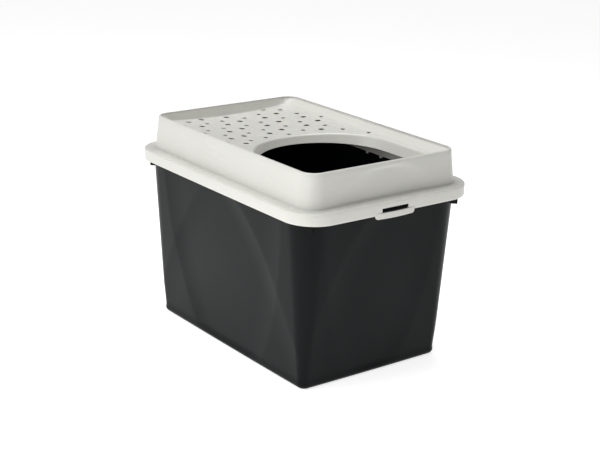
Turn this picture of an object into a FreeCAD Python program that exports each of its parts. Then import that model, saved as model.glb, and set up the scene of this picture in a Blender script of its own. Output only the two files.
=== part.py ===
import FreeCAD, Part
import math
import os

# Two-moulding cat litter box: a deep tub and a clip-on hood entered from above.
# Millimetres. X runs along the length with the entry at +X, Y across, Z up.
# The origin is the middle of the tub's underside.

# Overall sizes
overallLength = 572.0
overallWidth = 393.0
overallHeight = 404.0
strapProud = 3.0
flangeLength = overallLength - 2 * strapProud

# Mouldings
tubWall = 2.5
hoodWall = 2.5

# Hood flange, the skirt that drops over the tub rim
flangeBottom = 319.5
seatHeight = 338.0
ledgeThickness = 3.0
flangeRadius = 60.0
sideBow = 0.4

# Tub walls, measured in from the flange outline
tubTopInsetX = 20.2
tubTopInsetY = 12.7
tubFootInsetX = 45.4
tubFootInsetY = 37.1
tubTopRadius = 49.5
tubFootRadius = 16.0
tubBow = 1.0
footRounding = 10.0
floorThickness = 3.0

# Tub rim
rimGap = 1.0
rimThickness = 2.5
rimLipBottom = 325.0

# Hood wall and top rim, measured in from the flange outline
hoodFootInset = 21.9
hoodTopInset = 29.0
hoodFootRadius = 35.5
hoodTopRadius = 29.0
wallFootGap = 1.0
rimRounding = 4.0
topRimWidth = 4.5
topRimFlat = 0.2

# Sloping band inside the hood (run inwards per mm of fall), and the dished deck it falls to
bandSlopeX = 0.13
bandSlopeY = 1.25
bandThickness = 2.0
deckHeight = 381.8
deckRise = 12.7
deckThickness = 2.5

# Entry opening: a half circle towards the deck, straight sides, rounded front
entrySideMargin = 59.5
entryFrontMargin = 54.0
entryStraight = 136.0
entryFrontRadius = 42.0
collarBottom = 367.0
collarDraft = 6.0
collarThickness = 2.5

# Perforation: groups of four holes on a slanted grid
bigHole = 11.5
smallHole = 9.2
holeRowStep = (52.7, -31.2)
holeGroupPitch = 150.7
holeStartMargin = 47.0
holeStartY = -8.2
holeGroup = (
    (0.0, 0.0, bigHole),
    (41.6, 5.1, bigHole),
    (-28.5, 5.1, smallHole),
    (77.4, -4.0, smallHole),
)
holeEdgeMargin = 9.0
holeEndMargin = 38.0
holeSideMargin = 49.5

# Snap straps on the two short sides, with the tub catch behind each window
strapWidth = 88.0
strapTop = 323.5
strapBottom = 312.5
strapThickness = 2.5
strapChamfer = 5.0
windowWidth = 60.0
windowTop = 331.0
catchSideGap = 3.0
catchBottom = 324.8
catchProud = 2.3

# Small parts
lugWidth = 16.0
lugHeight = 17.0
lugReach = 14.0
lugClearance = 5.0
tabWidth = 5.0
tabBottom = 335.0
tabThickness = 2.0
tabPositions = (-6.4, 34.8)

os.makedirs("parts", exist_ok=True)

halfL = flangeLength / 2
halfW = overallWidth / 2
rimBottom = overallHeight - rimRounding
bandFoot = deckHeight - 6.0
hoodWallBottom = seatHeight + wallFootGap
dishRadius = halfW * halfW / (2 * deckRise)

# The opening and the holes keep their distance from the hood sides, the catch from the window sides
entryRadius = halfW - entrySideMargin
entryFrontX = halfL - entryFrontMargin
entryCentreX = entryFrontX - entryStraight
holeStart = (holeStartMargin - halfL, holeStartY)
holeZoneX = halfL - holeEndMargin
holeZoneY = halfW - holeSideMargin
catchWidth = windowWidth - 2 * catchSideGap

# The top rim keeps a narrow flat between its two roundings
topRimInnerRounding = topRimWidth - rimRounding - topRimFlat


def point(x, y, z):
    return FreeCAD.Vector(x, y, z)


def arc(a, b, c):
    return Part.Arc(point(*a), point(*b), point(*c)).toShape()


def outline(halfX, halfY, radius, bow, z):
    """Rounded rectangle whose four sides bulge outwards by bow."""
    edges = []
    cx = halfX - bow - radius
    cy = halfY - bow - radius
    k = radius * math.sqrt(0.5)
    for sx, sy in ((1, 1), (-1, 1), (-1, -1), (1, -1)):
        corner = (sx * (cx + k), sy * (cy + k), z)
        onX = (sx * (cx + radius), sy * cy, z)
        onY = (sx * cx, sy * (cy + radius), z)
        if sx * sy > 0:
            edges.append(arc(onX, corner, onY))
            edges.append(arc(onY, (0, sy * halfY, z), (-onY[0], onY[1], z)))
        else:
            edges.append(arc(onY, corner, onX))
            edges.append(arc(onX, (sx * halfX, 0, z), (onX[0], -onX[1], z)))
    return Part.Wire(edges)


def stack(wires):
    return Part.makeLoft(wires, True, True)


def flangeOutline(inset, z):
    return outline(halfL - inset, halfW - inset, flangeRadius - inset, sideBow, z)


def tubOutline(z, inset):
    t = z / seatHeight
    insetX = tubFootInsetX + (tubTopInsetX - tubFootInsetX) * t + inset
    insetY = tubFootInsetY + (tubTopInsetY - tubFootInsetY) * t + inset
    radius = tubFootRadius + (tubTopRadius - tubFootRadius) * t - inset
    return outline(halfL - insetX, halfW - insetY, radius, tubBow, z)


def tubSolid(inset, bottom, rounding):
    wires = []
    steps = 4
    for i in range(steps + 1):
        angle = math.pi / 2 * i / steps
        z = bottom + rounding * (1 - math.cos(angle))
        wires.append(tubOutline(z, inset + rounding * (1 - math.sin(angle))))
    wires.append(tubOutline(seatHeight, inset))
    return stack(wires)


def hoodOutline(z, inset):
    t = (z - seatHeight) / (overallHeight - seatHeight)
    insetHere = hoodFootInset + (hoodTopInset - hoodFootInset) * t + inset
    radius = hoodFootRadius + (hoodTopRadius - hoodFootRadius) * t - inset
    return outline(halfL - insetHere, halfW - insetHere, radius, sideBow * 0.6, z)


def bandOutline(z, inset):
    fall = rimBottom - z
    insetX = hoodTopInset + topRimWidth + bandSlopeX * fall + inset
    insetY = hoodTopInset + topRimWidth + bandSlopeY * fall + inset
    radius = hoodTopRadius - topRimWidth - inset
    return outline(halfL - insetX, halfW - insetY, radius, sideBow * 0.6, z)


def entryOutline(inset, z):
    """Half circle at the back, straight sides, two rounded front corners."""
    r = entryRadius - inset
    f = entryFrontX - inset
    c = entryFrontRadius - inset
    k = c * (1 - math.sqrt(0.5))
    x = entryCentreX
    edges = [
        arc((x, r, z), (x - r, 0, z), (x, -r, z)),
        Part.makeLine(point(x, -r, z), point(f - c, -r, z)),
        arc((f - c, -r, z), (f - k, -r + k, z), (f, -r + c, z)),
        Part.makeLine(point(f, -r + c, z), point(f, r - c, z)),
        arc((f, r - c, z), (f - k, r - k, z), (f - c, r, z)),
        Part.makeLine(point(f - c, r, z), point(x, r, z)),
    ]
    return Part.Wire(edges)


def entrySolid(inset, low, high):
    top = deckHeight
    slope = collarDraft / (top - collarBottom)
    lowWire = entryOutline(inset + slope * (top - low), low)
    highWire = entryOutline(inset + slope * (top - high), high)
    return stack([lowWire, highWire])


def dish(radius):
    centre = point(-halfL * 2, 0, deckHeight + dishRadius)
    return Part.makeCylinder(radius, halfL * 4, centre, point(1, 0, 0))


def holePlaces():
    places = []
    for row in range(-8, 9):
        for group in range(-3, 5):
            for dx, dy, size in holeGroup:
                x = holeStart[0] + row * holeRowStep[0] + group * holeGroupPitch + dx
                y = holeStart[1] + row * holeRowStep[1] + dy
                clear = math.hypot(x - entryCentreX, y) - entryRadius - size / 2
                inZone = abs(x) < holeZoneX and abs(y) < holeZoneY
                if x < entryCentreX and inZone and clear > holeEdgeMargin:
                    places.append((x, y, size))
    return places


def box(x0, x1, y0, y1, z0, z1):
    return Part.makeBox(x1 - x0, y1 - y0, z1 - z0, point(x0, y0, z0))


def mirrorX(shape):
    return shape.mirror(point(0, 0, 0), point(1, 0, 0))


def mirrorY(shape):
    return shape.mirror(point(0, 0, 0), point(0, 1, 0))


def save(shape, name):
    solids = shape.Solids
    if len(solids) != 1:
        print("solids", name, len(solids))
    shape.exportStep("parts/" + name + ".step")
    print(name, round(shape.Volume / 1000, 2), "cm3")


# Tub shell
tubOuter = tubSolid(0.0, 0.0, footRounding)
tubInner = tubSolid(tubWall, floorThickness, footRounding - tubWall)
tubShell = tubOuter.cut(tubInner)
save(tubShell, "tub_shell")

# Tub rim: a shelf turned outwards from the wall, ending in a lip turned down
lipOuterInset = hoodWall + rimGap
shelfBottom = seatHeight - rimThickness
rimBody = stack([flangeOutline(lipOuterInset, rimLipBottom), flangeOutline(lipOuterInset, seatHeight)])
rimHollow = stack([
    flangeOutline(lipOuterInset + rimThickness, rimLipBottom - 1),
    flangeOutline(lipOuterInset + rimThickness, shelfBottom),
])
save(rimBody.cut(rimHollow).cut(tubOuter), "tub_rim")

# Catch on the lip, showing in the window above each strap
catchInner = halfL - lipOuterInset
catchBlock = box(catchInner - 12, catchInner + catchProud, -catchWidth / 2, catchWidth / 2,
                 catchBottom, windowTop - 0.6)
snapCatch = catchBlock.cut(stack([
    flangeOutline(lipOuterInset, rimLipBottom - 5),
    flangeOutline(lipOuterInset, seatHeight + 5),
]))
save(snapCatch, "snap_catch_front")
save(mirrorX(snapCatch), "snap_catch_rear")

# Corner lugs under the rim, one at each corner of the tub
cornerX = halfL - sideBow - flangeRadius
cornerY = halfW - sideBow - flangeRadius
lugFar = flangeRadius - lipOuterInset - rimThickness - lugClearance
lugBlock = box(lugFar - lugReach - 16, lugFar, -lugWidth / 2, lugWidth / 2,
               flangeBottom - lugHeight, rimLipBottom - 0.5)
lugBlock.rotate(point(0, 0, 0), point(0, 0, 1), 45)
lugBlock.translate(point(cornerX, cornerY, 0))
lug = lugBlock.cut(tubOuter)
lug = max(lug.Solids, key=lambda s: s.BoundBox.Center.x)
save(lug, "corner_lug_front_right")
save(mirrorY(lug), "corner_lug_front_left")
save(mirrorX(lug), "corner_lug_rear_right")
save(mirrorX(mirrorY(lug)), "corner_lug_rear_left")

# Hood flange: skirt and ledge. At each short end the skirt holds a window with a strap below it
ledgeTop = seatHeight + ledgeThickness
skirtOuter = stack([
    flangeOutline(1.0, flangeBottom),
    flangeOutline(0.0, flangeBottom + 1.5),
    flangeOutline(0.0, ledgeTop - 4.0),
    flangeOutline(1.2, ledgeTop - 1.2),
    flangeOutline(4.0, ledgeTop),
])
skirtInner = stack([flangeOutline(hoodWall, flangeBottom - 1), flangeOutline(hoodWall, seatHeight)])
wallHole = stack([hoodOutline(seatHeight - 1, 0), hoodOutline(ledgeTop + 1, 0)])
flange = skirtOuter.cut(skirtInner).cut(wallHole)
strapGap = box(halfL - 14, halfL + 5, -strapWidth / 2, strapWidth / 2, flangeBottom - 1, strapTop)
window = box(halfL - 14, halfL + 5, -windowWidth / 2, windowWidth / 2, strapTop - 1, windowTop)
for opening in (strapGap, window):
    flange = flange.cut(opening).cut(mirrorX(opening))
frameZone = box(halfL - 14, halfL + 5, -strapWidth / 2, strapWidth / 2, strapTop, seatHeight)
windowFrame = flange.common(frameZone)
save(windowFrame, "strap_window_front")
save(mirrorX(windowFrame), "strap_window_rear")
flange = flange.cut(frameZone).cut(mirrorX(frameZone))
save(flange, "hood_flange")

# Hood wall, from just above the seat up to the top rim
wallOuter = stack([hoodOutline(hoodWallBottom, 0), hoodOutline(rimBottom, 0)])
wallInner = stack([hoodOutline(hoodWallBottom - 1, hoodWall), hoodOutline(rimBottom + 1, hoodWall)])
wallRing = wallOuter.cut(wallInner)
save(wallRing, "hood_wall")

# Top rim, rounded on the outside and a little on the inside
rimWires = []
holeWires = [bandOutline(rimBottom, 0.0).translated(point(0, 0, -1))]
for i in range(5):
    angle = math.pi / 2 * i / 4
    z = rimBottom + rimRounding * math.sin(angle)
    rimWires.append(hoodOutline(z, rimRounding * (1 - math.cos(angle))))
for i in range(4):
    angle = math.pi / 2 * i / 3
    z = overallHeight - topRimInnerRounding * (1 - math.sin(angle))
    wire = bandOutline(rimBottom, -topRimInnerRounding * (1 - math.cos(angle)))
    holeWires.append(wire.translated(point(0, 0, z - rimBottom)))
topRim = stack(rimWires).cut(stack(holeWires))
save(topRim, "hood_top_rim")

# Sloping band between the top rim and the deck
bandOuter = stack([bandOutline(bandFoot, -bandThickness), bandOutline(rimBottom, -bandThickness)])
bandInner = stack([bandOutline(bandFoot - 1, 0.0), bandOutline(rimBottom + 1, 0.0)])
slopeBand = bandOuter.cut(bandInner).common(dish(dishRadius))
save(slopeBand, "hood_inner_slope")

# Deck: a shallow dish, perforated behind the entry opening
deck = dish(dishRadius + deckThickness).cut(dish(dishRadius)).common(bandOuter)
collarOuter = entrySolid(-collarThickness, collarBottom, overallHeight)
collarInner = entrySolid(0.0, collarBottom - 5, overallHeight + 5)
deck = deck.cut(collarOuter)
holes = []
for x, y, size in holePlaces():
    holes.append(Part.makeCylinder(size / 2, 40, point(x, y, deckHeight - 15), point(0, 0, 1)))
print("holes", len(holes))
deck = deck.cut(Part.makeCompound(holes))
save(deck, "perforated_deck")

# Collar turned down around the entry opening
collar = collarOuter.cut(collarInner).cut(dish(dishRadius))
save(collar, "entry_collar")

# Locating tabs hanging from the hood wall inside the tub mouth
tabY = halfW - hoodFootInset - hoodWall
for name, x in zip(("rear", "front"), tabPositions):
    tab = box(x - tabWidth / 2, x + tabWidth / 2, tabY - tabThickness, tabY + hoodWall - 0.4,
              tabBottom, hoodWallBottom)
    save(tab, "locating_tab_right_" + name)
    save(mirrorY(tab), "locating_tab_left_" + name)

# Snap straps: a bar bowed outwards below each window
edge = halfL - 0.4
half = strapWidth / 2
mid = halfL + strapProud
strapFace = Part.Face(Part.Wire([
    arc((edge, -half, 0), (mid, 0, 0), (edge, half, 0)),
    Part.makeLine(point(edge, half, 0), point(edge - strapThickness, half, 0)),
    arc((edge - strapThickness, half, 0), (mid - strapThickness, 0, 0), (edge - strapThickness, -half, 0)),
    Part.makeLine(point(edge - strapThickness, -half, 0), point(edge, -half, 0)),
]))
strapFace.translate(point(0, 0, strapBottom))
strap = strapFace.extrude(point(0, 0, strapTop - strapBottom))
for side in (-1, 1):
    corner = Part.Face(Part.makePolygon([
        point(edge - 20, side * half, strapBottom),
        point(edge - 20, side * (half - strapChamfer), strapBottom),
        point(edge - 20, side * half, strapBottom + strapChamfer),
        point(edge - 20, side * half, strapBottom),
    ]))
    strap = strap.cut(corner.extrude(point(40, 0, 0)))
save(strap, "snap_strap_front")
save(mirrorX(strap), "snap_strap_rear")
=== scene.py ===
import math
import bpy
import bmesh
from mathutils import Matrix, Vector


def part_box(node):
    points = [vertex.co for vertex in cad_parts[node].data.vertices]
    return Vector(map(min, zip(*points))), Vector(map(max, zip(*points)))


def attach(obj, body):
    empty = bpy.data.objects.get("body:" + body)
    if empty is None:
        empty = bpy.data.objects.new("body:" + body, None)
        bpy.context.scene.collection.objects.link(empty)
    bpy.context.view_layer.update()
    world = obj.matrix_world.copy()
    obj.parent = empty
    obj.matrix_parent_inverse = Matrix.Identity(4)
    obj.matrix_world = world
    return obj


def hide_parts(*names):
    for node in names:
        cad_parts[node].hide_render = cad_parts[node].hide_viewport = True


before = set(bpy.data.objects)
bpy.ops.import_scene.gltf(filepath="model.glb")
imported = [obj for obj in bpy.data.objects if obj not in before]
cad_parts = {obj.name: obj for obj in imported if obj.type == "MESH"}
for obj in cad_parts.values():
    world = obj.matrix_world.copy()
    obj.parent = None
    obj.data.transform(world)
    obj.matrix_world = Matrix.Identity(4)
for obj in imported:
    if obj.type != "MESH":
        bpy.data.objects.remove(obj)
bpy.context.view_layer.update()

mm = 0.001


def inMm(node):
    low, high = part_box(node)
    return low / mm, high / mm


# Sizes read from the frame, in millimetres
flangeLow, flangeHigh = inMm("hood_flange")
windowHigh = inMm("strap_window_front")[1]
shellHigh = inMm("tub_shell")[1]
rimLow, rimHigh = inMm("hood_top_rim")
collarLow = inMm("entry_collar")[0]
tubRimLow = inMm("tub_rim")[0]
strapLow, strapHigh = inMm("snap_strap_front")
wallLow = inMm("hood_wall")[0]
halfLength = windowHigh.x
halfWidth = flangeHigh.y
seat = shellHigh.z
ledgeTop = flangeHigh.z
rimBottom = rimLow.z
print("frame loaded", round(halfLength, 2), round(halfWidth, 2), round(rimHigh.z, 2))

flange = dict(radius=60.0, bow=0.4, wall=2.5, lipRound=1.0, ledgeRound=2.4, windowHalf=30.0,
              windowTop=331.0)
tub = dict(topX=20.2, topY=12.7, footX=45.4, footY=37.1, topRadius=49.5, footRadius=16.0, bow=1.0, wall=2.5,
           footRound=10.0, floor=3.0, levels=56, innerLevels=20)
hood = dict(foot=21.9, top=29.0, footRadius=35.5, topRadius=29.0, bow=0.24, wall=2.5, levels=20)
rim = dict(width=4.5, outerRound=2.4, innerRound=1.2)
slope = dict(runX=0.13, runY=1.25, thickness=2.0, fillet=2.0, onDeck=3.0)
deck = dict(height=381.8, rise=12.7, thickness=1.3, strip=4.0, holeSegments=28, holeRound=0.3)
dishRadius = halfWidth ** 2 / (2 * deck["rise"])
layout = dict(cornerSteps=16, longSteps=90, shortStep=5.0, shortEnd=136.1)


def smooth(t):
    t = min(1.0, max(0.0, t))
    return t * t * (3 - 2 * t)


def dishHeight(y):
    return deck["height"] + dishRadius - math.sqrt(dishRadius ** 2 - y ** 2)


# Stations: the same places round every wall ring, with stops at the window and strap edges
def shortStops():
    stops = [0.0]
    marks = (0.0, flange["windowHalf"], strapHigh.y, layout["shortEnd"])
    for low, high in zip(marks, marks[1:]):
        count = max(1, round((high - low) / layout["shortStep"]))
        stops += [(low + (high - low) * (k + 1) / count) / layout["shortEnd"] for k in range(count)]
    return [-stop for stop in reversed(stops[1:])] + stops


def makeStations():
    short = shortStops()
    long = [-1 + 2 * k / layout["longSteps"] for k in range(layout["longSteps"] + 1)]
    found = []
    for quarter in range(4):
        stops = short if quarter % 2 == 0 else long
        found += [(quarter, stop, 0.0) for stop in stops[:-1]]
        steps = layout["cornerSteps"]
        found += [(quarter, 1.0, math.pi / 2 * k / steps) for k in range(steps)]
    return found


stations = makeStations()


def placeOn(station, shape, inward=0.0):
    quarter, stop, turn = station
    halfX, halfY, radius, bow = shape
    out = Vector((math.cos(quarter * math.pi / 2), math.sin(quarter * math.pi / 2), 0))
    along = Vector((-out.y, out.x, 0))
    reach, side = (halfX, halfY) if quarter % 2 == 0 else (halfY, halfX)
    side -= bow + radius
    if turn == 0.0:
        return out * (reach - bow * stop ** 2 - inward) + along * (stop * side)
    centre = out * (reach - bow - radius) + along * side
    return centre + (out * math.cos(turn) + along * math.sin(turn)) * (radius - inward)


# Soft moulded relief: an arch and an egg shape that cross on each wall, both sunk a little
relief = dict(depth=2.3, ramp=60.0, foot=12.0,
              endEgg=(128.0, 275.0, 122.0, 2.5, 310.0, 1.7), longEgg=(191.0, 320.0, 900.0, 2.0, 388.0, 1.8),
              endArch=(10.1, 318.0, 0.5), longArch=(9.5, 330.0, 0.57))


def eggHalf(egg, z):
    width, centre, up, upPower, down, downPower = egg
    reach, power = (up, upPower) if z > centre else (down, downPower)
    t = min(1.0, abs(z - centre) / reach)
    return width * (1 - t ** power) ** (1 / power) if t < 1 else -relief["ramp"]


def archHalf(arch, z):
    scale, top, power = arch
    return scale * (top - z) ** power if z < top else -relief["ramp"]


# A crisp edge that flattens out further in
def crease(distance):
    t = min(1.0, max(0.0, distance / relief["ramp"]))
    return 1 - (1 - t) ** 2


def sunk(isEnd, across, z, withArch):
    egg, arch = (relief["endEgg"], relief["endArch"]) if isEnd else (relief["longEgg"], relief["longArch"])
    depth = crease(eggHalf(egg, z) - abs(across))
    if withArch:
        depth += crease(archHalf(arch, z) - abs(across))
    return depth * relief["depth"]


def sinkAt(station, shape, z, withArch, withLong):
    quarter, stop, turn = station
    halfX, halfY, radius, bow = shape
    isEnd = quarter % 2 == 0
    side = (halfY if isEnd else halfX) - bow - radius
    other = (halfX if isEnd else halfY) - bow - radius
    depth = 0.0
    if isEnd or withLong:
        depth += sunk(isEnd, abs(stop) * side + radius * turn, z, withArch) * smooth(1.25 - turn / 1.25)
    if turn > 0 and (withLong or not isEnd):
        back = math.pi / 2 - turn
        depth += sunk(not isEnd, other + radius * back, z, withArch) * smooth(1.25 - back / 1.25)
    return depth


# The outlines, each as half length, half width, corner radius and bow
def flangeShape(inset):
    return (halfLength - inset, halfWidth - inset, flange["radius"] - inset, flange["bow"])


def tubShape(z, inset=0.0):
    t = z / seat
    x = tub["footX"] + (tub["topX"] - tub["footX"]) * t + inset
    y = tub["footY"] + (tub["topY"] - tub["footY"]) * t + inset
    radius = tub["footRadius"] + (tub["topRadius"] - tub["footRadius"]) * t - inset
    return (halfLength - x, halfWidth - y, radius, tub["bow"])


def hoodShape(z, inset=0.0):
    t = (z - seat) / (rimHigh.z - seat)
    here = hood["foot"] + (hood["top"] - hood["foot"]) * t + inset
    radius = hood["footRadius"] + (hood["topRadius"] - hood["footRadius"]) * t - inset
    return (halfLength - here, halfWidth - here, radius, hood["bow"])


def slopeShape(z, inset=0.0):
    fall = rimBottom - z
    edge = hood["top"] + rim["width"] + inset
    radius = hood["topRadius"] - rim["width"] - inset
    halfX = halfLength - edge - slope["runX"] * fall
    halfY = halfWidth - edge - slope["runY"] * fall
    return (halfX, halfY, radius, hood["bow"])


def mixShape(a, b, t):
    return tuple(p + (q - p) * t for p, q in zip(a, b))


def ringAt(shape, z):
    return [(placeOn(s, shape) + Vector((0, 0, z))) * mm for s in stations]


# A skin grown ring by ring; the section is joined to itself or the two ends are capped
def growRings(sections, ends):
    bm = bmesh.new()
    number = bm.verts.layers.int.new("station")
    count = len(sections[0])
    first = bmesh.ops.create_circle(bm, cap_ends=False, radius=1, segments=count)["verts"]
    for k, vert in enumerate(first):
        vert[number] = k
        vert.co = sections[0][k]
    firstEdges = bm.edges[:]
    edges = firstEdges
    rest = sections[1:] + ([sections[0]] if ends == "join" else [])
    for section in rest:
        grown = bmesh.ops.extrude_edge_only(bm, edges=edges)["geom"]
        fresh = {v for v in grown if isinstance(v, bmesh.types.BMVert)}
        for vert in fresh:
            vert.co = section[vert[number]]
        edges = [e for e in grown if isinstance(e, bmesh.types.BMEdge) and set(e.verts) <= fresh]
    if ends == "join":
        bmesh.ops.remove_doubles(bm, verts=list(fresh) + first, dist=1e-7)
    else:
        bmesh.ops.contextual_create(bm, geom=firstEdges)
        bmesh.ops.contextual_create(bm, geom=edges)
    bmesh.ops.recalc_face_normals(bm, faces=bm.faces)
    return bm


def finishPiece(bm, name, body, nodes, finish, sharp=38, bevel=0.0):
    mesh = bpy.data.meshes.new(name)
    bm.to_mesh(mesh)
    bm.free()
    mesh.polygons.foreach_set("use_smooth", [True] * len(mesh.polygons))
    mesh.set_sharp_from_angle(angle=math.radians(sharp))
    mesh.materials.append(finish)
    piece = bpy.data.objects.new(name, mesh)
    bpy.context.scene.collection.objects.link(piece)
    if bevel:
        rounding = piece.modifiers.new("edges", "BEVEL")
        rounding.width = bevel * mm
        rounding.segments = 3
        rounding.limit_method = "ANGLE"
        rounding.angle_limit = math.radians(35)
    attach(piece, body)
    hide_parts(*nodes)
    print("made", name, len(mesh.polygons))
    return piece


# Shader maths: a socket that can be added, multiplied and so on
class Term:
    def __init__(self, recipe, socket):
        self.recipe = recipe
        self.socket = socket

    def join(self, kind, first, second):
        return self.recipe.add("ShaderNodeMath", dict(operation=kind), {0: first, 1: second})

    def __add__(self, other):
        return self.join("ADD", self, other)

    def __radd__(self, other):
        return self.join("ADD", other, self)

    def __sub__(self, other):
        return self.join("SUBTRACT", self, other)

    def __rsub__(self, other):
        return self.join("SUBTRACT", other, self)

    def __mul__(self, other):
        return self.join("MULTIPLY", self, other)

    def __rmul__(self, other):
        return self.join("MULTIPLY", other, self)

    def __truediv__(self, other):
        return self.join("DIVIDE", self, other)

    def __rtruediv__(self, other):
        return self.join("DIVIDE", other, self)


class Recipe:
    def __init__(self, name):
        self.material = bpy.data.materials.new(name)
        self.material.use_nodes = True
        self.tree = self.material.node_tree
        self.shader = self.tree.nodes["Principled BSDF"]

    def feed(self, socket, value):
        if isinstance(value, Term):
            self.tree.links.new(value.socket, socket)
        else:
            socket.default_value = value

    def add(self, kind, settings, inputs, output=0):
        node = self.tree.nodes.new(kind)
        for key, value in settings.items():
            setattr(node, key, value)
        for key, value in inputs.items():
            self.feed(node.inputs[key], value)
        return Term(self, node.outputs[output])

    def noise(self, scale, detail=3.0, stretch=(1, 1, 1)):
        where = self.add("ShaderNodeTexCoord", {}, {}, "Object")
        turned = self.add("ShaderNodeMapping", {}, {"Vector": where, "Scale": stretch})
        inputs = {"Vector": turned, "Scale": scale, "Detail": detail}
        return self.add("ShaderNodeTexNoise", {}, inputs, "Fac")

    def blend(self, amount, low, high):
        return self.add("ShaderNodeMix", dict(data_type="RGBA"), {0: amount, 6: low, 7: high}, 2)

    def clamp(self, value, low, high):
        inputs = {"Value": value, "From Min": low, "From Max": high}
        return self.add("ShaderNodeMapRange", dict(clamp=True), inputs, "Result")


def mouldedPlastic(name, look):
    recipe = Recipe(name)
    cloud = recipe.noise(look["cloudScale"], 2.0)
    grain = recipe.noise(look["grainScale"], 2.0)
    rub = recipe.clamp(recipe.noise(look["rubScale"], 4.0, (1.0, 1.0, 7.0)), 0.60, 0.78)
    colour = recipe.blend(cloud, (*look["dark"], 1), (*look["light"], 1))
    colour = recipe.blend(rub * look["rubTint"], colour, (*look["worn"], 1))
    rough = look["rough"] + (cloud - 0.5) * look["roughCloud"] + (grain - 0.5) * look["roughGrain"]
    rough = rough + rub * look["roughRub"]
    bumpInputs = {"Height": grain, "Strength": look["bump"], "Distance": look["bumpDepth"] * mm}
    normal = recipe.add("ShaderNodeBump", {}, bumpInputs, "Normal")
    recipe.feed(recipe.shader.inputs["Base Color"], colour)
    recipe.feed(recipe.shader.inputs["Roughness"], rough)
    recipe.feed(recipe.shader.inputs["Normal"], normal)
    recipe.shader.inputs["Specular IOR Level"].default_value = look["specular"]
    recipe.shader.inputs["Subsurface Weight"].default_value = look["glow"]
    recipe.shader.inputs["Subsurface Radius"].default_value = (0.003, 0.0027, 0.0022)
    recipe.shader.inputs["Subsurface Scale"].default_value = 1.0
    return recipe.material


hoodLook = dict(dark=(0.665, 0.660, 0.618), light=(0.705, 0.700, 0.660), worn=(0.62, 0.612, 0.57),
                cloudScale=4.0, grainScale=1300.0, rubScale=26.0, rubTint=0.05, rough=0.28,
                roughCloud=0.04, roughGrain=0.06, roughRub=0.03, bump=0.08, bumpDepth=0.12, specular=0.5, glow=0.30)
tubLook = dict(dark=(0.0038, 0.0048, 0.0052), light=(0.0054, 0.0068, 0.0074), worn=(0.014, 0.015, 0.016),
               cloudScale=4.5, grainScale=1100.0, rubScale=24.0, rubTint=0.16, rough=0.36, roughCloud=0.05,
               roughGrain=0.10, roughRub=0.08, bump=0.16, bumpDepth=0.14, specular=0.10, glow=0.0)
hoodPlastic = mouldedPlastic("hoodPlastic", hoodLook)
tubPlastic = mouldedPlastic("tubPlastic", tubLook)
# Painted shade: the snap catches get a darker, less glossy copy of the tub plastic, standing in for the shade
# behind the strap window
catchPaintedShadeLook = dict(tubLook, dark=(0.0015, 0.0016, 0.0017), light=(0.0022, 0.0024, 0.0026),
                 worn=(0.004, 0.004, 0.004), specular=0.02)
catchPaintedShadePlastic = mouldedPlastic("catchPaintedShadePlastic", catchPaintedShadeLook)
print("finishes made")


# Tub shell: underside, rounded foot, drafted walls, mouth, inside and floor
def tubRing(z, inset, shapeZ=None):
    shape = tubShape(z if shapeZ is None else shapeZ, inset)
    fade = smooth((z - 6) / relief["foot"])
    ring = []
    for station in stations:
        inward = sinkAt(station, tubShape(z), z, True, True) * fade
        ring.append((placeOn(station, shape, inward) + Vector((0, 0, z))) * mm)
    return ring


def makeTubShell():
    sections = []
    for k in range(7):
        angle = math.pi / 2 * k / 6
        z = tub["footRound"] * (1 - math.cos(angle))
        sections.append(tubRing(z, tub["footRound"] * (1 - math.sin(angle))))
    low = tub["footRound"]
    for k in range(1, tub["levels"] + 1):
        sections.append(tubRing(low + (seat - low) * k / tub["levels"], 0.0))
    sections.append(tubRing(seat, tub["wall"]))
    low = tub["footRound"] + tub["floor"]
    for k in range(1, tub["innerLevels"] + 1):
        sections.append(tubRing(seat + (low - seat) * k / tub["innerLevels"], tub["wall"]))
    inner = tub["footRound"] - tub["wall"]
    for k in range(1, 6):
        angle = math.pi / 2 * (1 - k / 5)
        z = tub["floor"] + inner * (1 - math.cos(angle))
        sections.append(tubRing(z, tub["wall"] + inner * (1 - math.sin(angle))))
    bm = growRings(sections, "cap")
    return finishPiece(bm, "tubShell", "tub", ["tub_shell"], tubPlastic, sharp=40)


def makeTubRim():
    lip = flange["wall"] + 1.0
    wall = 2.5
    mouth = tubShape(seat, 0.3)
    low = tubRimLow.z
    sections = [ringAt(flangeShape(lip), low + 0.5), ringAt(flangeShape(lip), seat - 1.2),
                ringAt(flangeShape(lip + 0.4), seat - 0.35), ringAt(flangeShape(lip + 1.2), seat),
                ringAt(mouth, seat), ringAt(mouth, seat - wall),
                ringAt(flangeShape(lip + wall + 1), seat - wall),
                ringAt(flangeShape(lip + wall), seat - wall - 1), ringAt(flangeShape(lip + wall), low + 0.5),
                ringAt(flangeShape(lip + wall - 0.6), low), ringAt(flangeShape(lip + 0.6), low)]
    bm = growRings(sections, "join")
    return finishPiece(bm, "tubRim", "tub", ["tub_rim"], tubPlastic)


makeTubShell()
makeTubRim()


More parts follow.
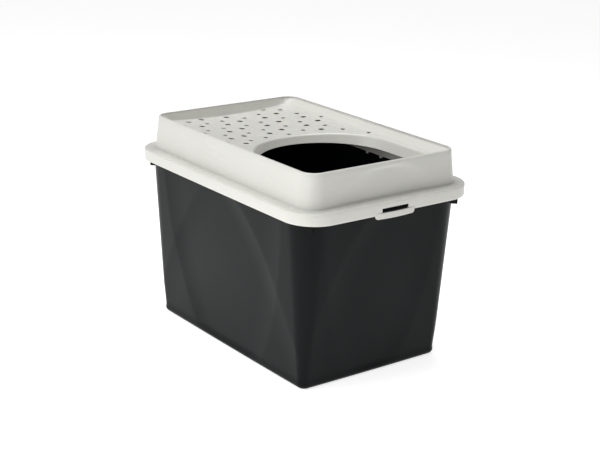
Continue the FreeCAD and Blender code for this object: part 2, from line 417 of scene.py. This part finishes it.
# Hood flange: skirt with a rounded lip, ledge, and a soft hollow where the wall rises
def makeHoodFlange():
    low = flangeLow.z
    lip = flange["lipRound"]
    top = flange["ledgeRound"]
    footZ = ledgeTop
    wallFoot = hoodShape(footZ)
    start = 8.0
    reach = halfLength - wallFoot[0]

    def shapeAt(inset):
        if inset <= start:
            return flangeShape(inset)
        return mixShape(flangeShape(start), wallFoot, (inset - start) / (reach - start))

    profile = [(flange["wall"] - 0.4, low)]
    for k in range(5):
        angle = math.pi / 2 * k / 4
        profile.append((lip * (1 - math.sin(angle)), low + lip * (1 - math.cos(angle))))
    between = (strapHigh.z + flange["windowTop"]) / 2
    profile += [(0.0, strapHigh.z), (0.0, between), (0.0, flange["windowTop"])]
    for k in range(7):
        angle = math.pi / 2 * k / 6
        profile.append((top * (1 - math.cos(angle)), ledgeTop - top * (1 - math.sin(angle))))
    profile += [(8.0, ledgeTop), (14.0, ledgeTop)]
    profile += [(18.5, ledgeTop - 0.25), (20.4, ledgeTop - 0.15)]
    profile += [(21.6, ledgeTop + 0.35), (22.5, ledgeTop + 1.3)]
    profile += [(reach + 0.15, ledgeTop + 3.0), (reach + 0.8, ledgeTop + 3.0), (reach + 0.8, seat)]
    profile += [(flange["wall"] + 1.0, seat), (flange["wall"], seat - 1.0)]
    profile += [(flange["wall"], flange["windowTop"]), (flange["wall"], between), (flange["wall"], strapHigh.z)]
    profile += [(flange["wall"], low + 0.4)]
    bm = growRings([ringAt(shapeAt(inset), z) for inset, z in profile], "join")

    # The strap gap is open below and the window above it is narrower
    doomed = []
    for face in bm.faces:
        spot = face.calc_center_median() / mm
        nearEnd = abs(spot.x) > halfLength - flange["wall"] - 1.5
        inGap = abs(spot.y) < strapHigh.y and spot.z < strapHigh.z
        inWindow = abs(spot.y) < flange["windowHalf"] and spot.z < flange["windowTop"]
        if nearEnd and (inGap or inWindow):
            doomed.append(face)
    bmesh.ops.delete(bm, geom=doomed, context="FACES")
    for side in (-1, 1):
        border = [e for e in bm.edges if e.is_boundary and side * e.verts[0].co.x > 0]
        edgeLoop = [e for e in border if abs(e.verts[0].co.z - e.verts[1].co.z) > 1e-6 or
               max(v.co.z for v in e.verts) / mm > strapHigh.z - 0.1]
        kept = [e for e in edgeLoop if len({round(skinDepth(v), 1) for v in e.verts}) == 1]
        skirt = [e for e in kept if min(v.co.z for v in e.verts) / mm >= strapHigh.z - 0.1]
        bmesh.ops.bridge_loops(bm, edges=skirt)
    loose = [e for e in bm.edges if e.is_boundary]
    bmesh.ops.holes_fill(bm, edges=loose, sides=0)
    bmesh.ops.recalc_face_normals(bm, faces=bm.faces)
    names = ["hood_flange", "strap_window_front", "strap_window_rear"]
    return finishPiece(bm, "hoodFlange", "hood", names, hoodPlastic, sharp=50)


def skinDepth(vert):
    spot = vert.co / mm
    face = halfLength - flange["bow"] * (spot.y / layout["shortEnd"]) ** 2
    return face - abs(spot.x)


def makeHoodWall():
    def wallRing(z, inset):
        ring = []
        for station in stations:
            shape = hoodShape(z, inset)
            inward = sinkAt(station, hoodShape(z), z, False, False) if z < rimBottom - 0.5 else 0.0
            inward *= smooth((rimBottom - z) / 4) * smooth((z - ledgeTop + 1) / 3)
            ring.append((placeOn(station, shape, inward) + Vector((0, 0, z))) * mm)
        return ring

    low = wallLow.z
    levels = hood["levels"]
    outer = [low] + [ledgeTop - 1 + (rimBottom - ledgeTop + 1) * k / levels for k in range(levels + 1)]
    sections = [wallRing(z, 0.0) for z in outer]
    sections += [wallRing(z, hood["wall"]) for z in reversed(outer[::4])]
    bm = growRings(sections, "join")
    return finishPiece(bm, "hoodWall", "hood", ["hood_wall"], hoodPlastic)


def makeTopRim():
    sections = [ringAt(hoodShape(rimBottom), rimBottom)]
    for k in range(9):
        angle = math.pi / 2 * k / 8
        z = rimHigh.z - rim["outerRound"] * (1 - math.sin(angle))
        sections.append(ringAt(hoodShape(z, rim["outerRound"] * (1 - math.cos(angle))), z))
    for k in range(6):
        angle = math.pi / 2 * (1 - k / 5)
        z = rimHigh.z - rim["innerRound"] * (1 - math.sin(angle))
        sections.append(ringAt(slopeShape(rimBottom, -rim["innerRound"] * (1 - math.sin(angle))), z))
    sections.append(ringAt(slopeShape(rimBottom), rimBottom))
    bm = growRings(sections, "join")
    return finishPiece(bm, "topRim", "hood", ["hood_top_rim"], hoodPlastic)


# The slope ends on the dish; its foot is found station by station
def footHeights():
    heights = []
    for station in stations:
        z = deck["height"] + 4
        for k in range(6):
            z = dishHeight(placeOn(station, slopeShape(z)).y)
        heights.append(z)
    return heights


feet = footHeights()


def onDish(station, z, inset, drop=0.0):
    spot = placeOn(station, slopeShape(z, inset))
    return Vector((spot.x, spot.y, dishHeight(spot.y) - drop)) * mm


def onSlope(station, z, inset=0.0):
    spot = placeOn(station, slopeShape(z, inset))
    return Vector((spot.x, spot.y, z)) * mm


def makeInnerSlope():
    sections = []
    for k in range(6):
        t = k / 5
        heights = [rimBottom + (foot + slope["fillet"] - rimBottom) * t for foot in feet]
        sections.append([onSlope(s, z) for s, z in zip(stations, heights)])
    for k in range(1, 6):
        t = k / 5
        ring = []
        for s, foot in zip(stations, feet):
            a = onSlope(s, foot + slope["fillet"])
            b = onSlope(s, foot)
            c = onDish(s, foot, slope["onDeck"])
            ring.append(a * (1 - t) ** 2 + b * (2 * t * (1 - t)) + c * t ** 2)
        sections.append(ring)
    drop = Vector((0, 0, -slope["thickness"] * mm))
    sections.append([onDish(s, foot, slope["onDeck"]) + drop for s, foot in zip(stations, feet)])
    sections.append([onSlope(s, foot, -1.6) + drop for s, foot in zip(stations, feet)])
    sections.append([onSlope(s, rimBottom, -slope["thickness"]) for s in stations])
    bm = growRings(sections, "join")
    return finishPiece(bm, "innerSlope", "hood", ["hood_inner_slope"], hoodPlastic)


# Entry opening: half circle towards the deck, straight sides, two rounded front corners
entry = dict(centreX=halfLength - 190.0, frontX=halfLength - 54.0, radius=halfWidth - 59.5, frontRadius=42.0,
             draft=0.4, shoulder=5.5, thickness=2.5, backSteps=72, sideSteps=16, cornerSteps=14, frontSteps=22)


def entryStations():
    found = []
    for k in range(entry["backSteps"]):
        found.append(("back", math.pi / 2 + math.pi * k / entry["backSteps"]))
    for k in range(entry["sideSteps"]):
        found.append(("right", k / entry["sideSteps"]))
    for k in range(entry["cornerSteps"]):
        found.append(("rightCorner", -math.pi / 2 + math.pi / 2 * k / entry["cornerSteps"]))
    for k in range(entry["frontSteps"]):
        found.append(("front", k / entry["frontSteps"]))
    for k in range(entry["cornerSteps"]):
        found.append(("leftCorner", math.pi / 2 * k / entry["cornerSteps"]))
    for k in range(entry["sideSteps"]):
        found.append(("left", k / entry["sideSteps"]))
    return found


def entryPoint(station, inset):
    part, t = station
    r = entry["radius"] - inset
    f = entry["frontX"] - inset
    c = entry["frontRadius"] - inset
    x = entry["centreX"]
    if part == "back":
        return Vector((x + r * math.cos(t), r * math.sin(t), 0))
    if part in ("right", "left"):
        run = f - c - x
        return Vector((x + run * t, -r, 0)) if part == "right" else Vector((f - c - run * t, r, 0))
    if part == "front":
        return Vector((f, (r - c) * (2 * t - 1), 0))
    side = -1 if part == "rightCorner" else 1
    return Vector((f - c + c * math.cos(t), side * (r - c) + c * math.sin(t), 0))


rimStations = entryStations()


def entryRing(inset, drop=0.0, down=0.0):
    ring = []
    for station in rimStations:
        spot = entryPoint(station, inset)
        top = dishHeight(spot.y) - drop
        ring.append(Vector((spot.x, spot.y, top + (collarLow.z - top) * down)) * mm)
    return ring


def makeEntryCollar():
    roll = entry["shoulder"]
    sections = []
    turn = math.pi / 2 - math.atan(entry["draft"])
    for k in range(9):
        angle = turn * k / 8
        sections.append(entryRing(-roll + roll * math.sin(angle), roll * (1 - math.cos(angle))))
    lastInset = -roll + roll * math.sin(turn)
    lastDrop = roll * (1 - math.cos(turn))
    foot = 6.0
    for k in range(1, 6):
        sections.append(entryRing(lastInset + (foot - lastInset) * k / 5 * 0.97, lastDrop, 0.97 * k / 5))
    sections.append(entryRing(foot - 0.5, lastDrop, 1.0))
    sections.append(entryRing(foot - entry["thickness"] + 0.5, lastDrop, 1.0))
    sections.append(entryRing(foot - entry["thickness"] - 0.1, lastDrop, 0.96))
    sections.append(entryRing(-entry["thickness"] - 0.2, roll + 1.0, 0.0))
    sections.append(entryRing(-roll, deck["thickness"], 0.0))
    bm = growRings(sections, "join")
    return finishPiece(bm, "entryCollar", "hood", ["entry_collar"], hoodPlastic)


# Vent holes: groups of four on a slanted grid, left out near the opening and the slope
vents = dict(big=11.5, small=9.2, rowStep=(52.7, -31.2), pitch=150.7, start=(47.0 - halfLength, -8.2),
             margin=9.0, zoneX=halfLength - 38.0, zoneY=halfWidth - 49.5,
             group=((0.0, 0.0, "big"), (41.6, 5.1, "big"), (-28.5, 5.1, "small"), (77.4, -4.0, "small")))


def ventPlaces():
    places = []
    for row in range(-8, 9):
        for column in range(-3, 5):
            for dx, dy, kind in vents["group"]:
                x = vents["start"][0] + row * vents["rowStep"][0] + column * vents["pitch"] + dx
                y = vents["start"][1] + row * vents["rowStep"][1] + dy
                radius = vents[kind] / 2
                clear = math.hypot(x - entry["centreX"], y) - entry["radius"] - radius
                inside = abs(x) < vents["zoneX"] and abs(y) < vents["zoneY"]
                if x < entry["centreX"] and inside and clear > vents["margin"]:
                    places.append((x, y, radius))
    return places


def flatLoop(bm, points):
    made = bmesh.ops.create_circle(bm, cap_ends=False, radius=1, segments=len(points))["verts"]
    for vert, spot in zip(made, points):
        vert.co = (spot.x, spot.y, 0)


def makeDeck():
    places = ventPlaces()
    bm = bmesh.new()
    flatLoop(bm, [onDish(s, foot, slope["onDeck"]) for s, foot in zip(stations, feet)])
    flatLoop(bm, entryRing(-entry["shoulder"]))
    for x, y, radius in places:
        wide = (radius + deck["holeRound"]) * mm
        bmesh.ops.create_circle(bm, cap_ends=False, radius=wide, segments=deck["holeSegments"],
                                matrix=Matrix.Translation((x * mm, y * mm, 0)))
    bmesh.ops.triangle_fill(bm, use_beauty=True, edges=bm.edges[:], normal=(0, 0, 1))
    steps = int(halfWidth // deck["strip"])
    for k in range(-steps, steps + 1):
        everything = bm.verts[:] + bm.edges[:] + bm.faces[:]
        bmesh.ops.bisect_plane(bm, geom=everything, dist=1e-7, plane_co=(0, k * deck["strip"] * mm + 1.3e-5, 0),
                               plane_no=(0, 1, 0))
    top = bm.faces[:]
    for face in top:
        if face.normal.z < 0:
            face.normal_flip()
    border = [e for e in bm.edges if e.is_boundary]

    def ventOf(vert):
        for x, y, radius in places:
            if math.hypot(vert.co.x / mm - x, vert.co.y / mm - y) < radius + deck["holeRound"] + 0.4:
                return (x, y, radius)
        return None

    holeEdges = [e for e in border if ventOf(e.verts[0]) and ventOf(e.verts[1])]
    plainEdges = [e for e in border if e not in set(holeEdges)]
    under = bmesh.ops.duplicate(bm, geom=top)["geom"]
    for vert in [g for g in under if isinstance(g, bmesh.types.BMVert)]:
        vert.co.z -= deck["thickness"] * mm
    bmesh.ops.reverse_faces(bm, faces=[g for g in under if isinstance(g, bmesh.types.BMFace)])
    rounding = deck["holeRound"]
    edges = holeEdges
    deep = deck["thickness"]
    profile = ((0.3 * rounding, 0.12), (0.0, rounding), (0.0, deep - rounding), (rounding, deep))
    for extra, drop in profile:
        grown = bmesh.ops.extrude_edge_only(bm, edges=edges)["geom"]
        fresh = {v for v in grown if isinstance(v, bmesh.types.BMVert)}
        for vert in fresh:
            x, y, radius = min(places, key=lambda place: nearness(place, vert))
            away = Vector((vert.co.x / mm - x, vert.co.y / mm - y, 0)).normalized()
            spot = Vector((x, y, 0)) + away * (radius + extra)
            vert.co = (spot.x * mm, spot.y * mm, -drop * mm)
        edges = [e for e in grown if isinstance(e, bmesh.types.BMEdge) and set(e.verts) <= fresh]
    grown = bmesh.ops.extrude_edge_only(bm, edges=plainEdges)["geom"]
    for vert in [g for g in grown if isinstance(g, bmesh.types.BMVert)]:
        vert.co.z -= deck["thickness"] * mm
    bmesh.ops.remove_doubles(bm, verts=bm.verts, dist=2e-6)
    for vert in bm.verts:
        vert.co.z += dishHeight(vert.co.y / mm) * mm
    bmesh.ops.recalc_face_normals(bm, faces=bm.faces)
    print("vent holes", len(places))
    return finishPiece(bm, "ventedDeck", "hood", ["perforated_deck"], hoodPlastic, sharp=32)


def nearness(place, vert):
    return math.hypot(vert.co.x / mm - place[0], vert.co.y / mm - place[1])


makeHoodFlange()
makeHoodWall()
makeTopRim()
makeInnerSlope()
makeEntryCollar()
makeDeck()


# Snap straps: bowed bars with the two lower corners taken off
strap = dict(thickness=2.5, corner=5.0, edgeBack=0.4, cuts=22, rounding=0.6)


def makeStrap(name, body, node, side):
    tall = strapHigh.z - strapLow.z
    bm = bmesh.new()
    bmesh.ops.create_cube(bm, size=1.0)
    bmesh.ops.scale(bm, vec=(strap["thickness"] * mm, 2 * strapHigh.y * mm, tall * mm), verts=bm.verts)
    bmesh.ops.translate(bm, vec=(0, 0, (strapLow.z + tall / 2) * mm), verts=bm.verts)
    lowEnds = [e for e in bm.edges if all(v.co.z / mm < strapLow.z + 0.1 for v in e.verts)
               and abs(e.verts[0].co.y - e.verts[1].co.y) < 1e-6]
    bmesh.ops.bevel(bm, geom=lowEnds, offset=strap["corner"] * mm, offset_type="OFFSET", affect="EDGES",
                    segments=2, profile=0.5, material=-1)
    for k in range(1, strap["cuts"]):
        y = strapHigh.y * (2 * k / strap["cuts"] - 1) * mm
        bmesh.ops.bisect_plane(bm, geom=bm.verts[:] + bm.edges[:] + bm.faces[:], dist=1e-7, plane_co=(0, y, 0),
                               plane_no=(0, 1, 0))
    edge = halfLength - strap["edgeBack"]
    proud = strapHigh.x - edge
    for vert in bm.verts:
        y = vert.co.y / mm
        outside = edge + proud * (1 - (y / strapHigh.y) ** 2)
        back = strap["thickness"] / 2 - vert.co.x / mm
        vert.co.x = side * (outside - back) * mm
    bmesh.ops.recalc_face_normals(bm, faces=bm.faces)
    return finishPiece(bm, name, body, [node], hoodPlastic, bevel=strap["rounding"])


makeStrap("strapFront", "strap_front", "snap_strap_front", 1)
makeStrap("strapRear", "strap_rear", "snap_strap_rear", -1)


# The small moulded features keep their own shapes and take the same finishes, except the snap catches: they take a
# darker, matte copy of the tub finish as painted shade
def paintNode(node, finish):
    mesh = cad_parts[node].data
    mesh.materials.clear()
    mesh.materials.append(finish)


for end in ("front", "rear"):
    paintNode("snap_catch_" + end, catchPaintedShadePlastic)
    for side in ("right", "left"):
        paintNode("corner_lug_" + end + "_" + side, tubPlastic)
        paintNode("locating_tab_" + side + "_" + end, hoodPlastic)
print("pieces made")


# Floor, light and camera
studio = dict(floorSize=60.0, floorColour=(0.93, 0.93, 0.93, 1), floorGlow=0.72, sky=0.22,
              key=dict(spot=(-0.9, -2.6, 2.2), size=2.2, power=33),
              top=dict(spot=(-0.16, 0.10, 1.8), size=1.0, power=16),
              side=dict(spot=(0.62, -1.0, 0.62), size=0.5, power=3))
view = dict(azimuth=53.14, elevation=18.49, distance=2.62359, aim=0.200, roll=1.45, focal=1365.55, wide=600,
            shiftX=2.70, shiftY=8.94)


def makeFloor():
    recipe = Recipe("floorPaper")
    recipe.shader.inputs["Base Color"].default_value = studio["floorColour"]
    recipe.shader.inputs["Roughness"].default_value = 0.9
    recipe.shader.inputs["Specular IOR Level"].default_value = 0.1
    recipe.shader.inputs["Emission Color"].default_value = (1, 1, 1, 1)
    recipe.shader.inputs["Emission Strength"].default_value = studio["floorGlow"]
    bm = bmesh.new()
    bmesh.ops.create_grid(bm, x_segments=2, y_segments=2, size=studio["floorSize"] / 2)
    mesh = bpy.data.meshes.new("floor")
    bm.to_mesh(mesh)
    bm.free()
    mesh.materials.append(recipe.material)
    floor = bpy.data.objects.new("floor", mesh)
    bpy.context.scene.collection.objects.link(floor)


def makeLight(name, light):
    lamp = bpy.data.lights.new(name, "AREA")
    lamp.shape = "SQUARE"
    lamp.size = light["size"]
    lamp.energy = light["power"]
    lampObject = bpy.data.objects.new(name, lamp)
    bpy.context.scene.collection.objects.link(lampObject)
    lampObject.location = light["spot"]
    aim = Vector((0, 0, 0.25)) - Vector(light["spot"])
    lampObject.rotation_mode = "QUATERNION"
    lampObject.rotation_quaternion = aim.to_track_quat("-Z", "Y")


def makeCamera():
    a, e, r = (math.radians(view[key]) for key in ("azimuth", "elevation", "roll"))
    back = Vector((math.sin(a) * math.cos(e), -math.cos(a) * math.cos(e), math.sin(e)))
    right = Vector((math.cos(a), math.sin(a), 0))
    up = back.cross(right)
    across = right * math.cos(r) + up * math.sin(r)
    upward = up * math.cos(r) - right * math.sin(r)
    place = Vector((0, 0, view["aim"])) + back * view["distance"]
    lens = bpy.data.cameras.new("camera")
    lens.sensor_width = 36.0
    lens.lens = view["focal"] / view["wide"] * 36.0
    lens.shift_x = view["shiftX"] / view["wide"]
    lens.shift_y = view["shiftY"] / view["wide"]
    lens.clip_start = 0.1
    lens.clip_end = 100.0
    camera = bpy.data.objects.new("camera", lens)
    bpy.context.scene.collection.objects.link(camera)
    camera.matrix_world = Matrix((
        (across.x, upward.x, back.x, place.x),
        (across.y, upward.y, back.y, place.y),
        (across.z, upward.z, back.z, place.z),
        (0, 0, 0, 1),
    ))
    bpy.context.scene.camera = camera


makeFloor()
for name in ("key", "top", "side"):
    makeLight(name, studio[name])
makeCamera()
world = bpy.data.worlds.new("studio")
world.use_nodes = True
world.node_tree.nodes["Background"].inputs["Color"].default_value = (1, 1, 1, 1)
world.node_tree.nodes["Background"].inputs["Strength"].default_value = studio["sky"]
bpy.context.scene.world = world
bpy.context.scene.view_settings.view_transform = "Standard"
print("studio made")
